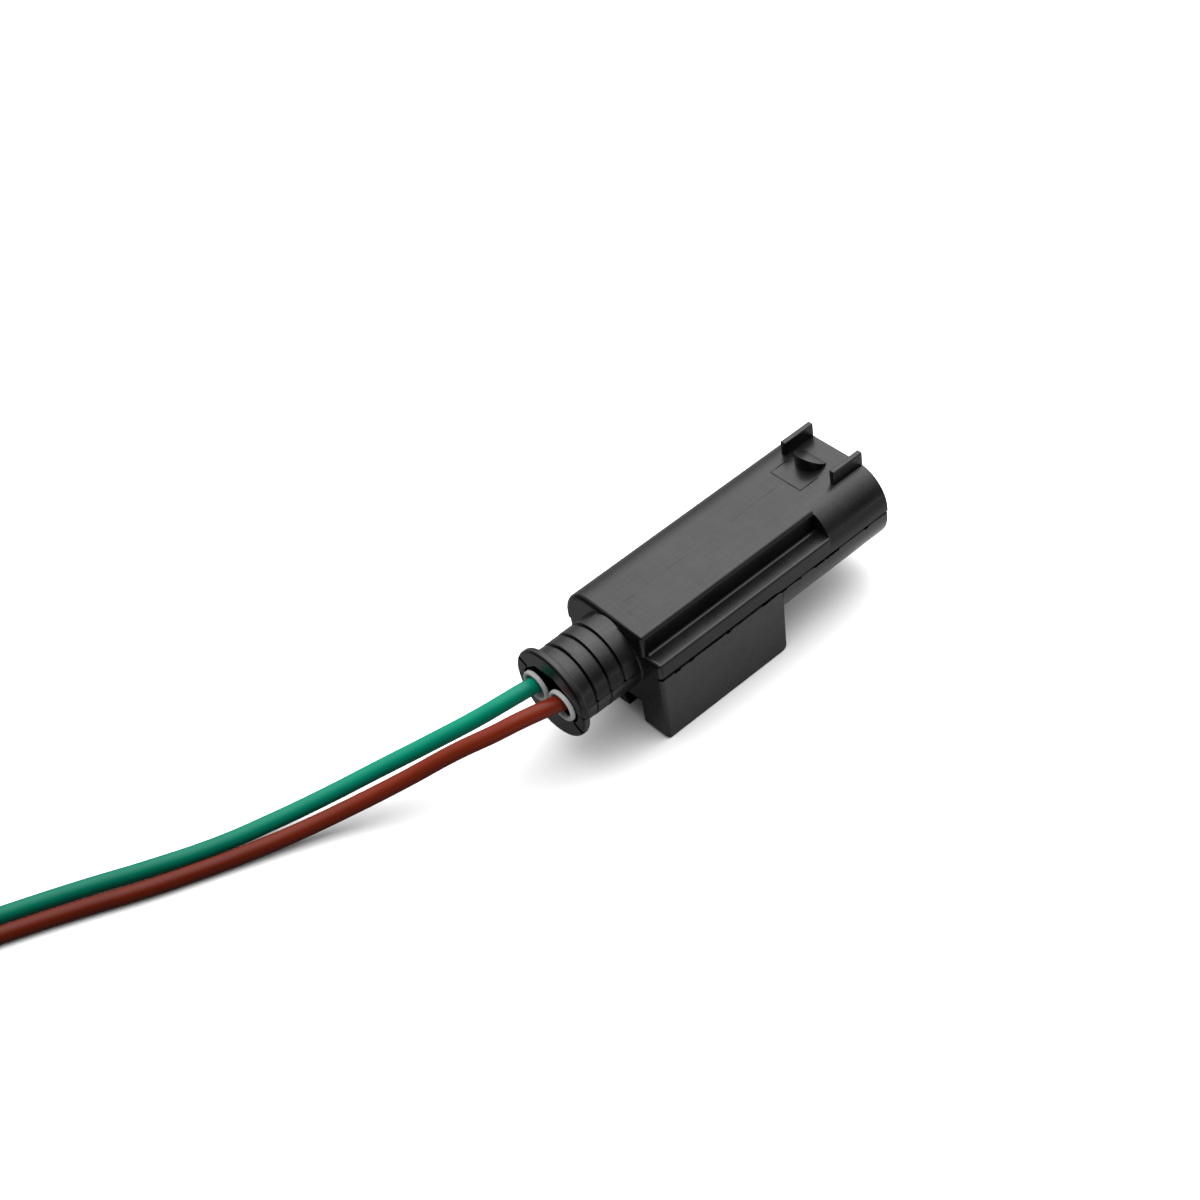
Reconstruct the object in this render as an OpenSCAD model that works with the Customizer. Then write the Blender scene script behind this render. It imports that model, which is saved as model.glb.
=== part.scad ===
// Prewired two-way automotive connector: a male housing with two sealed leads.
// X runs along the contacts with +X at the mating end, Y runs across them and Z is up.
// The origin is under the middle of the connector, on the surface that it rests on.

/* [Body] */
// Length of the moulded body, from its rear face to the mating end
body_l = 47.5; // [44:0.5:54]
// Width of the body at the mould parting plane
body_w = 21; // [20.4:0.1:23]
// Height of the body above the parting plane
upper_h = 6.8; // [6.7:0.1:8.1]
// Depth of the rounded body below the parting plane
lower_h = 7.3; // [7:0.1:8]
// Height of the parting plane above the feet
parting_z = 13.1; // [12.8:0.1:15]
// Upper corner radius of the mating end
upper_r = 6; // [5:0.1:6.6]
// Lower corner radius
lower_r = 6.2; // [5:0.1:6.5]
// Step between the two mould halves at the parting plane
mould_step = 0.15; // [0.05:0.05:0.25]
// Height of the groove that runs along both sides under the parting plane
seam_h = 0.3; // [0.1:0.05:0.5]
// Depth of that groove
seam_d = 0.3; // [0.1:0.05:0.4]
// Rounding on the rear edges of the body and the block
edge_r = 0.8; // [0.3:0.1:0.9]

/* [Notch] */
// Length of the notch along the right shoulder, from the rear face
notch_l = 35.2; // [30:0.2:37]
// Distance of the notch's wall from the middle of the body
notch_y = 7.3; // [6.8:0.1:8]
// Height of the ledge below the notch, above the parting plane
ledge_h = 3; // [2.1:0.1:3.6]
// Fillet between the ledge and the notch's wall
notch_r = 0.45; // [0.3:0.05:1]
// Rounding on the ledge's outer edge
ledge_r = 0.4; // [0.3:0.1:1]
// Rounding on the top edge of the notch's wall
crest_r = 0.7; // [0.4:0.1:1.2]

/* [Mounting block] */
// Length of the block under the body, from the rear face
block_l = 25; // [20:0.5:30]
// Width of the block at its feet
block_foot_w = 19.5; // [18.5:0.1:20.5]
// Width of the channel between the two legs
channel_w = 9.3; // [8.5:0.1:11]
// Height of the channel above the feet
channel_h = 4.85; // [4:0.05:5.2]
// Width of the rail's stem in the channel
rail_stem_w = 1.2; // [1:0.1:2]
// Width of the rail's dovetail foot
rail_foot_w = 2.8; // [2.4:0.1:3.6]
// Gap between the rail and the surface under the feet
rail_gap = 1.65; // [1:0.05:2]
// Height of the rail's dovetail foot
rail_foot_h = 1.8; // [1.2:0.1:2]
// Distance from the block's front face to the rail's front end
rail_setback = 3; // [1:0.5:6]
// Radius on the block's lower front edge
block_front_r = 1; // [0.5:0.1:1.5]

/* [Mating end] */
// Depth of the shroud in front of the contact wall
shroud_depth = 19; // [16:0.5:20]
// Thickness of the shroud's wall
shroud_wall = 1.6; // [1.2:0.1:1.8]
// Thickness of the contact wall
contact_wall = 3; // [2:0.5:4]
// Length of the guide fins
fin_l = 6.2; // [4:0.1:8]
// Height of the guide fins above the body
fin_h = 2.4; // [1.5:0.1:3]
// Thickness of the guide fins
fin_t = 1; // [0.7:0.05:1.2]
// Rounding on the fins' edges
fin_r = 0.25; // [0.1:0.05:0.3]
// Distance across the outside of the two fins
fin_span = 11.4; // [10.5:0.1:12.5]
// Radius of the latch nub in plan
nub_r = 2.5; // [1.8:0.1:2.8]
// Height of the latch nub at its rear
nub_h = 2.5; // [1.5:0.1:2.8]
// Distance from the mating end to the nub's rear point
nub_setback = 7; // [6:0.1:8]
// Length of the nub's ramp
nub_ramp_l = 3.7; // [2.4:0.1:4]
// Distance of the nub from the middle, towards the left
nub_offset = 0.9; // [0:0.1:1.2]

/* [Wire neck] */
// Length of the neck behind the rear face
neck_l = 12.2; // [12:0.1:16]
// Height of the neck's axis above the parting plane
neck_rise = 0; // [-0.2:0.1:0.4]
// Radius of the neck at its root
neck_r = 6.4; // [6.3:0.05:6.6]
// Drop in radius at each groove towards the flange
neck_drop = 0.04; // [0:0.02:0.1]
// Fillet between the neck and the rear face
neck_fillet = 0.3; // [0.2:0.1:0.6]
// Distance from the rear face to the first groove
groove_first = 3.1; // [2.5:0.1:3.4]
// Distance from one groove to the next
groove_pitch = 2.7; // [2.4:0.1:2.9]
// Width of the grooves
groove_w = 0.55; // [0.3:0.05:0.7]
// Depth of the grooves
groove_d = 0.4; // [0.2:0.05:0.5]
// Radius of the flange
flange_r = 7.5; // [7.3:0.1:8.5]
// Thickness of the flange at its rim
flange_t = 1.3; // [1:0.1:1.6]
// Rounding on the flange's rim
flange_edge_r = 0.4; // [0.2:0.05:0.45]
// Fillet between the neck and the flange
flange_fillet = 0.6; // [0.3:0.1:0.7]
// Width of the two slots in the flange's face
slot_w = 0.5; // [0.3:0.1:0.8]
// Depth of the two slots
slot_d = 0.9; // [0.5:0.1:1.2]
// Length of the two slots from the rim inwards
slot_l = 2; // [1:0.1:2.2]
// Turn of the two slots about the neck, up from the left side
slot_turn = 30; // [20:1:70]
// Depth of the pocket round the seals
pocket_d = 2.2; // [1:0.1:2.5]
// Gap between the seals and the pocket's wall
pocket_gap = 0.35; // [0.1:0.05:0.5]

/* [Contacts] */
// Distance between the two contacts
pitch = 5.8; // [5.7:0.1:6]
// Diameter of the contact pins
pin_d = 2.5; // [2:0.1:2.7]
// Length of the pins in front of the contact wall
pin_l = 11; // [8:0.5:13]
// Diameter of the pins' shank in the contact wall
shank_d = 2.9; // [2.9:0.05:3.1]
// Rounding on the pins' tips
pin_tip_r = 0.9; // [0.4:0.1:0.95]
// Diameter of the contacts' rolled body
contact_d = 3.4; // [3.3:0.1:3.6]
// Length of the contacts' rolled body
contact_l = 9; // [8:0.5:11]
// Thickness of the contacts' sheet metal
sheet_t = 0.35; // [0.25:0.05:0.4]
// Length of the conductor crimp
core_crimp_l = 4; // [3:0.5:5]
// Length of the insulation crimp
wire_crimp_l = 3.5; // [2.5:0.5:4.5]
// Length of each sloping strip between the contact's parts
strip_l = 1.5; // [1:0.1:2]
// Width of the seam where the sheet metal meets
seam_w = 0.3; // [0.2:0.05:0.5]
// Length of the locking lances
lance_l = 2.8; // [2:0.1:3.5]
// Width of the locking lances
lance_w = 1.2; // [0.8:0.1:1.6]
// Height that the lances stand up behind the cavity's shoulder
lance_catch = 0.35; // [0.2:0.05:0.4]

/* [Wires and seals] */
// Diameter of a wire over its insulation
wire_d = 2.6; // [2.2:0.1:2.7]
// Diameter of a wire's copper core
core_d = 1.6; // [1.2:0.1:1.7]
// Length of bare core at a wire's free end
bare_l = 8; // [5:1:12]
// Diameter of a seal over its ribs
seal_d = 5.3; // [5:0.1:5.5]
// Length of a seal
seal_l = 8; // [7:0.5:9]
// Distance that a seal stands out of the flange
seal_proud = 0.6; // [0.2:0.1:1]
// Wall of a seal's open mouth
seal_mouth_wall = 0.7; // [0.7:0.05:1]
// Depth of a seal's open mouth
seal_mouth_d = 2.4; // [1:0.1:3]
// Rounding on the lip of the mouth
seal_lip_r = 0.3; // [0.1:0.05:0.35]
// Length of the cone at the bottom of the mouth
seal_cone_l = 0.7; // [0.3:0.1:0.9]
// Width of a seal's ribs and of the grooves between them
seal_rib_w = 1; // [0.8:0.05:1.1]
// Depth of the grooves between a seal's ribs
seal_groove_d = 0.4; // [0.2:0.05:0.5]

/* [Hidden] */
$fn = 96;
eps = 0.01;
groove_n = 3;
// Size of the lower half's grooves against the upper half's
groove_fade = 0.5;
// How far cuts and joined forms reach past the face that they meet
reach = 1;

// Running clearances between pieces that fit each other
contact_clear = 0.2;
pin_clear = 0.05;
seal_clear = 0.03;
wire_clear = 0.03;
core_clear = 0.03;

// Places along X in the body's own frame, where 0 is the body's rear face
overall_l = body_l + neck_l + seal_proud;
rear_x = neck_l + seal_proud - overall_l / 2;
wall_front = body_l - shroud_depth;
wall_rear = wall_front - contact_wall;
contact_rear = wall_rear - contact_l;
core_crimp_front = contact_rear - strip_l;
core_crimp_rear = core_crimp_front - core_crimp_l;
wire_crimp_front = core_crimp_rear - strip_l;
wire_crimp_rear = wire_crimp_front - wire_crimp_l;
seal_rear = -neck_l - seal_proud;
seal_front = seal_rear + seal_l;
bore_front = seal_front + 2 * seal_clear;

// Radii of the bores and of what runs in them
contact_r = contact_d / 2;
cavity_r = contact_r + contact_clear;
lance_r = cavity_r + lance_catch;
seal_bore_r = seal_d / 2 + seal_clear;
core_bore_r = core_d / 2 + core_clear;
wire_bore_r = wire_d / 2 + wire_clear;

// Lances start at this distance in front of the contact body's rear end
lance_front = contact_rear + contact_l / 2;
lance_rear = lance_front - lance_l;

// Half of the width below the parting plane
lower_half_w = body_w / 2 - mould_step;

// Height of the contacts' axis in the part's frame
axis_z = parting_z + neck_rise;

// Free routes of the two wires, from behind the seals' mouths to their cut ends
route_left = [
    [-31.7, 3.2, 13.5], [-35.3, 4.2, 12.9], [-38.6, 5.8, 11.6], [-45.5, 9.9, 8.6], [-53, 14.1, 5.8],
    [-60.5, 17.7, 3.6], [-68, 20.9, 2.2], [-76, 24, 1.5], [-85.5, 28.3, 1.3], [-94.5, 32.7, 1.3],
    [-103.5, 36.8, 1.3], [-112.5, 40.6, 1.3], [-121.5, 44.1, 1.3], [-130.5, 47.3, 1.3],
    [-139.5, 50.2, 1.3], [-148.5, 52.8, 1.3], [-157.5, 55, 1.3], [-167, 57, 1.3]];
route_right = [
    [-32.4, -1.9, 13.6], [-36.2, -0.5, 13.2], [-39.4, 1.1, 12.2], [-44.5, 4.4, 10.1], [-51.5, 8.9, 6.5],
    [-59, 13, 3.8], [-66.5, 16.4, 2.2], [-74, 19.5, 1.5], [-81, 22.4, 1.3], [-88, 25.4, 1.3],
    [-97, 29.8, 1.3], [-106, 33.9, 1.3], [-115, 37.6, 1.3], [-124, 40.9, 1.3], [-133, 43.8, 1.3],
    [-142, 46.4, 1.3], [-151, 48.8, 1.3], [-160, 51, 1.3], [-167, 52.6, 1.3]];
wire_sides = 8;

// Extrudes a section drawn in Y and Z along X, from x0 to x1
module along_x(x0, x1)
    translate([x0, 0, 0]) rotate([90, 0, 90]) linear_extrude(x1 - x0) children();

// Turns a profile of radius against length about the X axis
module about_x(angle = 360, start = 0)
    rotate([start, 0, 0]) rotate([0, 90, 0]) rotate([0, 0, -90]) rotate_extrude(angle = angle) children();

// Places children in the body's frame, on the parting plane at the rear face
module in_body()
    translate([rear_x, 0, parting_z]) children();

// Places children on the axis of one contact, where side is 1 on the left and -1 on the right
module on_contact(side)
    in_body() translate([0, side * pitch / 2, neck_rise]) children();

// Corner piece between two faces at right angles, which fills a hollow corner or cuts an outer one round
module corner(r)
    difference() {
        translate([-eps, -eps]) square(r + eps);
        translate([r, r]) circle(r);
    }

// Section above the parting plane, flat on top with round corners
module upper_section(half_w, h, r) {
    translate([-half_w, 0]) square([2 * half_w, h - r]);
    translate([r - half_w, 0]) square([2 * (half_w - r), h]);
    intersection() {
        translate([-half_w, 0]) square([2 * half_w, h]);
        for (s = [-1, 1])
            translate([s * (half_w - r), h - r]) circle(r);
    }
}

// The same section below the parting plane
module lower_section(half_w, h, r)
    mirror([0, 1]) upper_section(half_w, h, r);

// Section of the rear part above the parting plane, from the notch's wall to the round left shoulder
module crest_section() {
    left = body_w / 2 - upper_r;
    translate([-notch_y, 0]) square([notch_y + body_w / 2, upper_h - upper_r]);
    translate([-notch_y, 0]) square([notch_y + left, upper_h - crest_r]);
    translate([crest_r - notch_y, 0]) square([notch_y - crest_r + left, upper_h]);
    translate([crest_r - notch_y, upper_h - crest_r]) circle(crest_r);
    intersection() {
        translate([left, upper_h - upper_r]) circle(upper_r);
        square([body_w, upper_h]);
    }
}

// Section of the ledge below the notch
module ledge_section()
    intersection() {
        upper_section(body_w / 2, ledge_h, ledge_r);
        translate([-body_w, 0]) square([body_w, ledge_h]);
    }

// Cuts that round the rear edges at the right side and on top
module rear_edges(right, h) {
    translate([0, -right, -eps]) linear_extrude(h + reach) corner(edge_r);
    translate([0, 0, h]) rotate([90, 0, 0]) linear_extrude(2 * body_w, center = true)
        mirror([0, 1]) corner(edge_r);
}

// Cut that rounds the rear edge of the left side and its shoulder
module shoulder_edge() {
    translate([0, body_w / 2, -eps]) mirror([0, 1, 0])
        linear_extrude(upper_h - upper_r + 2 * eps) corner(edge_r);
    translate([0, body_w / 2 - upper_r, upper_h - upper_r]) about_x(90, 180)
        translate([upper_r, 0]) mirror([1, 0]) corner(edge_r);
}

// Rear part above the parting plane: the crest, the ledge and the fillet between them
module rear_top() {
    difference() {
        along_x(0, notch_l + eps) crest_section();
        rear_edges(notch_y, upper_h);
        shoulder_edge();
    }
    difference() {
        along_x(0, notch_l + eps) ledge_section();
        rear_edges(body_w / 2, ledge_h);
    }
    along_x(edge_r, notch_l + eps) translate([-notch_y, ledge_h]) mirror([1, 0]) corner(notch_r);
}

// Section of the block: two legs with a drafted outside, the channel and its dovetail rail
module block_section() {
    half_foot = block_foot_w / 2;
    difference() {
        polygon([[-lower_half_w, 0], [lower_half_w, 0], [half_foot, -parting_z], [-half_foot, -parting_z]]);
        translate([-channel_w / 2, -parting_z - eps]) square([channel_w, channel_h + eps]);
    }
}

module rail_section() {
    foot = rail_gap - parting_z;
    neck = foot + rail_foot_h;
    roof = channel_h - parting_z + eps;
    stem = rail_stem_w / 2;
    wing = rail_foot_w / 2;
    polygon([[-stem, roof], [stem, roof], [stem, neck], [wing, foot], [-wing, foot], [-stem, neck]]);
}

module block() {
    draft = atan((lower_half_w - block_foot_w / 2) / parting_z);
    difference() {
        union() {
            along_x(mould_step, block_l) block_section();
            along_x(mould_step, block_l - rail_setback) rail_section();
        }
        // Rounded upright edges at the rear
        for (s = [0, 1])
            mirror([0, s, 0]) translate([mould_step, -lower_half_w, 0]) rotate([draft, 0, 0])
                linear_extrude(2 * (parting_z + reach), center = true) corner(edge_r);
        // Rounded lower edges at the front and at the rear
        translate([0, 0, -parting_z]) rotate([90, 0, 0]) linear_extrude(2 * body_w, center = true) {
            translate([block_l, 0]) mirror([1, 0]) corner(block_front_r);
            translate([mould_step, 0]) corner(edge_r);
        }
    }
}

// Neck profile, radius against distance from the rear face, with its grooves and flange
module neck_profile(inset, fade) {
    root = neck_r - inset;
    rim = flange_r - inset;
    flange_front = neck_l - flange_t;
    grooves = [for (i = [0 : groove_n - 1]) groove_first + i * groove_pitch];
    steps = concat([-reach], grooves, [neck_l]);
    difference() {
        union() {
            for (i = [0 : groove_n])
                translate([0, steps[i]]) square([root - i * neck_drop, steps[i + 1] - steps[i]]);
            translate([0, flange_front]) square([rim - flange_edge_r, flange_t]);
            translate([0, flange_front + flange_edge_r]) square([rim, flange_t - 2 * flange_edge_r]);
            for (edge = [flange_front + flange_edge_r, neck_l - flange_edge_r])
                translate([rim - flange_edge_r, edge]) circle(flange_edge_r);
            translate([root - groove_n * neck_drop, flange_front]) mirror([0, 1]) corner(flange_fillet);
        }
        for (i = [0 : groove_n - 1])
            translate([root - i * neck_drop, grooves[i]]) scale(fade)
                polygon([[eps, -groove_w / 2], [eps, groove_w / 2],
                    [-groove_d, groove_w / 2], [-groove_d, 0]]);
    }
}

// Upper and lower halves of the neck, which differ by the step of the mould
module neck()
    translate([0, 0, neck_rise]) {
        rotate([0, 0, 180]) about_x(180, 180) neck_profile(0, 1);
        rotate([0, 0, 180]) about_x(180) neck_profile(mould_step / 2, groove_fade);
    }

// Fillet round one half of the neck's root, on the rear face at x and no wider than the section given
module root_fillet(x, start, inset)
    intersection() {
        translate([x, 0, neck_rise]) rotate([0, 0, 180]) about_x(180, start)
            translate([neck_r - inset, 0]) corner(neck_fillet);
        along_x(x - neck_fillet, x + eps) children();
    }

// Two guide fins with round edges on top and at the rear
module fins()
    for (s = [-1, 1])
        translate([body_l - fin_l, s * (fin_span - fin_t) / 2, upper_h]) intersection() {
            rotate([90, 0, 0]) linear_extrude(fin_t, center = true) difference() {
                translate([0, -fin_h]) square([fin_l, 2 * fin_h]);
                translate([0, fin_h]) mirror([0, 1]) corner(fin_r);
            }
            linear_extrude(2 * fin_h, center = true) difference() {
                translate([0, -fin_t / 2]) square([fin_l, fin_t]);
                for (m = [0, 1])
                    mirror([0, m]) translate([0, -fin_t / 2]) corner(fin_r);
            }
            along_x(0, fin_l) difference() {
                translate([-fin_t / 2, -fin_h]) square([fin_t, 2 * fin_h]);
                for (m = [0, 1])
                    mirror([m, 0]) translate([-fin_t / 2, fin_h]) mirror([0, 1]) corner(fin_r);
            }
        }

// Latch nub: a round post cut by a ramp that falls towards the mating end
module nub() {
    rear = body_l - nub_setback;
    translate([rear + nub_r, nub_offset, upper_h - eps]) intersection() {
        cylinder(r = nub_r, h = nub_h);
        rotate([90, 0, 0]) linear_extrude(2 * nub_r, center = true)
            polygon([[-nub_r, 0], [nub_ramp_l - nub_r, 0], [-nub_r, nub_h]]);
    }
}

// Space in front of the contact wall, which leaves a whole wall behind the notch
module shroud_cavity() {
    half = lower_half_w - shroud_wall;
    difference() {
        along_x(wall_front, body_l + reach) {
            upper_section(half, upper_h - shroud_wall, upper_r - shroud_wall);
            translate([0, eps]) lower_section(half, lower_h - shroud_wall + eps, lower_r - shroud_wall);
        }
        along_x(0, notch_l + shroud_wall) translate([-body_w, ledge_h - shroud_wall])
            square([body_w - notch_y + shroud_wall, upper_h]);
    }
}

// Pocket, seal bores, contact cavities and pin holes
module wire_ways() {
    pocket_r = seal_d / 2 + pocket_gap;
    along_x(-neck_l - reach, pocket_d - neck_l) translate([0, neck_rise]) {
        square([pitch, 2 * pocket_r], center = true);
        for (s = [-1, 1])
            translate([s * pitch / 2, 0]) circle(pocket_r);
    }
    for (s = [-1, 1])
        translate([0, s * pitch / 2, neck_rise]) rotate([0, 90, 0]) {
            translate([0, 0, -neck_l]) cylinder(r = seal_bore_r, h = bore_front + neck_l);
            translate([0, 0, bore_front - eps]) cylinder(r = cavity_r, h = wall_rear - bore_front + eps);
            translate([0, 0, lance_rear - contact_clear])
                cylinder(r = lance_r + contact_clear, h = lance_l + 2 * contact_clear);
            translate([0, 0, wall_rear - eps])
                cylinder(d = shank_d + 2 * pin_clear, h = contact_wall + reach);
        }
}

// Two slots in the flange's face, across from each other
module flange_slots()
    for (turn = [slot_turn, slot_turn + 180])
        translate([-neck_l - reach, 0, neck_rise]) rotate([turn, 0, 0])
            translate([0, flange_r - slot_l, -slot_w / 2]) cube([slot_d + reach, slot_l + reach, slot_w]);

// Grooves under the parting plane, along both sides of the body
module seam_grooves()
    for (s = [0, 1])
        mirror([0, s, 0]) translate([-reach, lower_half_w - seam_d, -seam_h])
            cube([body_l + 2 * reach, seam_d + reach, seam_h]);

module housing()
    color("#2b2b2d") in_body() difference() {
        union() {
            rear_top();
            along_x(notch_l, body_l) upper_section(body_w / 2, upper_h, upper_r);
            along_x(block_l - eps, body_l) translate([0, eps])
                lower_section(lower_half_w, lower_h + eps, lower_r);
            block();
            neck();
            root_fillet(0, 180, 0) upper_section(notch_y, upper_h - edge_r, crest_r);
            root_fillet(mould_step, 0, mould_step / 2) block_section();
            fins();
            nub();
        }
        shroud_cavity();
        wire_ways();
        flange_slots();
        seam_grooves();
    }

// Contact profile, radius against length: crimps, rolled body, shank and pin
module contact_profile() {
    pin_front = wall_front + pin_l;
    pin_r = pin_d / 2;
    core_r = core_bore_r + sheet_t;
    wire_r = wire_bore_r + sheet_t;
    floor_x = wall_rear - 2 * sheet_t;
    polygon([[wire_bore_r, wire_crimp_rear], [wire_r, wire_crimp_rear], [wire_r, wire_crimp_front],
        [core_r, core_crimp_rear], [core_r, core_crimp_front], [contact_r, contact_rear],
        [contact_r, wall_rear], [0, wall_rear], [0, floor_x], [contact_r - sheet_t, floor_x],
        [contact_r - sheet_t, contact_rear], [core_bore_r, core_crimp_front],
        [core_bore_r, core_crimp_rear], [wire_bore_r, wire_crimp_front]]);
    translate([0, wall_rear - eps]) square([shank_d / 2, contact_wall + eps]);
    translate([0, wall_front - eps]) square([pin_r, pin_l - pin_tip_r + eps]);
    translate([0, pin_front - pin_tip_r - eps]) difference() {
        square([pin_r, pin_tip_r + eps]);
        translate([pin_r, pin_tip_r + eps]) rotate(180) corner(pin_tip_r);
    }
}

// Spring lances that stand out behind the cavity's shoulder
module lances()
    for (turn = [90, 270])
        rotate([turn, 0, 0]) rotate([90, 0, 0]) linear_extrude(lance_w, center = true)
            polygon([[lance_front, contact_r - sheet_t / 2], [lance_front, contact_r],
                [lance_rear, lance_r], [lance_rear, lance_r - sheet_t]]);

// Stamped contact with its lances, an open seam on top and open ways between the crimps
module contact(side)
    color("#c9c6bd") on_contact(side) {
        difference() {
            about_x() contact_profile();
            translate([wire_crimp_rear - reach, -seam_w / 2, 0])
                cube([wall_rear - 2 * sheet_t - wire_crimp_rear + reach, seam_w, 2 * contact_r]);
            for (x = [wire_crimp_front, core_crimp_front])
                translate([x, -contact_d, 0]) cube([strip_l, 2 * contact_d, contact_d]);
        }
        lances();
    }

// Ribbed silicone seal with an open mouth round the wire
module wire_seal(side) {
    r_out = seal_d / 2;
    mouth_r = r_out - seal_mouth_wall;
    mouth_front = seal_rear + seal_mouth_d;
    color("#b4b7b8") on_contact(side) about_x() difference() {
        translate([wire_bore_r, seal_rear]) square([r_out - wire_bore_r, seal_l]);
        for (i = [1 : 3])
            translate([r_out - seal_groove_d, seal_front - 2 * i * seal_rib_w]) square([reach, seal_rib_w]);
        polygon([[0, seal_rear - eps], [mouth_r, seal_rear - eps], [mouth_r, mouth_front - seal_cone_l],
            [wire_bore_r, mouth_front], [0, mouth_front]]);
        translate([mouth_r, seal_rear]) corner(seal_lip_r);
        translate([r_out, seal_rear]) mirror([1, 0]) corner(seal_lip_r);
    }
}

// Route of one wire, from inside the contact to the cut end of its insulation
function wire_axis(side, x) = [rear_x + x, side * pitch / 2, axis_z];
function wire_path(side) = concat(
    [wire_axis(side, wire_crimp_front), wire_axis(side, seal_rear + seal_mouth_d)],
    side > 0 ? route_left : route_right);

// Route of its core, which reaches into the conductor crimp and out of the cut end
function unit(v) = v / norm(v);
function core_path(side) =
    let (p = wire_path(side), n = len(p))
    concat([wire_axis(side, core_crimp_front)], [for (i = [1 : n - 1]) p[i]],
        [p[n - 1] + bare_l * unit(p[n - 1] - p[n - 2])]);

// Ring of points about one place on a path
function heading(p, i) = unit(p[min(i + 1, len(p) - 1)] - p[max(i - 1, 0)]);
function ring(p, i, r) =
    let (t = heading(p, i), across = unit(cross(t, [0, 0, 1])), rise = cross(across, t))
    [for (k = [0 : wire_sides - 1])
        let (a = 360 * k / wire_sides) p[i] + r * (cos(a) * across + sin(a) * rise)];
function rings(p, r) = [for (i = [0 : len(p) - 1]) each ring(p, i, r)];

// Quads between ring i and ring i + 1, where first is the index of the tube's first point
function tube_wall(n, first, outward) = [for (i = [0 : n - 2], k = [0 : wire_sides - 1])
    let (a = first + i * wire_sides + k, b = first + i * wire_sides + (k + 1) % wire_sides,
        c = b + wire_sides, d = a + wire_sides)
    outward ? [a, b, c, d] : [d, c, b, a]];
function ring_cap(outer, inner, facing_back) = [for (k = [0 : wire_sides - 1])
    let (m = (k + 1) % wire_sides)
    facing_back ? [outer + k, inner + k, inner + m, outer + m]
        : [outer + m, inner + m, inner + k, outer + k]];

// Hollow tube along a path
module wire_tube(p, r_out, r_in) {
    n = len(p);
    last = (n - 1) * wire_sides;
    inner = n * wire_sides;
    polyhedron(concat(rings(p, r_out), rings(p, r_in)),
        concat(tube_wall(n, 0, true), tube_wall(n, inner, false),
            ring_cap(0, inner, true), ring_cap(last, inner + last, false)));
}

// Solid rod along a path
module wire_rod(p, r) {
    n = len(p);
    last = (n - 1) * wire_sides;
    polyhedron(rings(p, r), concat(tube_wall(n, 0, true),
        [[for (k = [wire_sides - 1 : -1 : 0]) k]], [[for (k = [0 : wire_sides - 1]) last + k]]));
}

module insulation(side)
    color(side > 0 ? "#0b7d5c" : "#7a3020") wire_tube(wire_path(side), wire_d / 2, core_bore_r);

module conductor(side)
    color("#b8713f") wire_rod(core_path(side), core_d / 2);

housing();
contact(1);  // contact_left
contact(-1);  // contact_right
wire_seal(1);  // seal_left
wire_seal(-1);  // seal_right
insulation(1);  // insulation_left
insulation(-1);  // insulation_right
conductor(1);  // conductor_left
conductor(-1);  // conductor_right
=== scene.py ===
"""Prewired automotive connector: a moulded male housing with two sealed leads, in a studio."""
import math

import bpy
from mathutils import Matrix, Vector


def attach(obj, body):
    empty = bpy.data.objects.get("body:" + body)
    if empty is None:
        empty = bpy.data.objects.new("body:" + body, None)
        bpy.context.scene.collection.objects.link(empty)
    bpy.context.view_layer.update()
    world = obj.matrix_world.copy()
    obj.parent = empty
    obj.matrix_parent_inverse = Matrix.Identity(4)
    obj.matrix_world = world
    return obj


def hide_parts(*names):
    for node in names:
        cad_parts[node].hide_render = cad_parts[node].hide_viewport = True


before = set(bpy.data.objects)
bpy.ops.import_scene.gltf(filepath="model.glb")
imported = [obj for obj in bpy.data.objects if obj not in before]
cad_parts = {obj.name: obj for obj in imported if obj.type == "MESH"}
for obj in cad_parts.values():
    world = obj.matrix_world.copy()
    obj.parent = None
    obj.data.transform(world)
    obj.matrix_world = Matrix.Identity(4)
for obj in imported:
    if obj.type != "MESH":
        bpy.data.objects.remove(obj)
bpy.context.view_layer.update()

MM = 0.001
BODY = "root"
UP = Vector((0, 0, 1))

# Camera: place in millimetres, angles in degrees, lens, sensor and nearest distance in millimetres
CAMERA_PLACE = (-146.59, -192.21, 248.61)
CAMERA_HEADING = 56.198
CAMERA_DROP = 44.2
CAMERA_ROLL = -11.03
CAMERA_LENS = 67.42
CAMERA_SENSOR = 36
CAMERA_NEAREST = 10

# Leads, in millimetres, and in how many steps they are rounded and curved
WIRE_D = 2.6
MOUTH_X = -27.75
CONTACT_Y = 2.9
CONTACT_Z = 13.1
LEAD_ROUND_STEPS = 8
LEAD_CURVE_STEPS = 10
ROUTE_LEFT = [
    (-31.7, 3.2, 13.5), (-35.3, 4.2, 12.9), (-38.6, 5.8, 11.6), (-45.5, 9.9, 8.6),
    (-53, 14.1, 5.8), (-60.5, 17.7, 3.6), (-68, 20.9, 2.2), (-76, 24, 1.5), (-85.5, 28.3, 1.3),
    (-94.5, 32.7, 1.3), (-103.5, 36.8, 1.3), (-112.5, 40.6, 1.3), (-121.5, 44.1, 1.3),
    (-130.5, 47.3, 1.3), (-139.5, 50.2, 1.3), (-148.5, 52.8, 1.3), (-157.5, 55, 1.3),
    (-167, 57, 1.3)]
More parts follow.
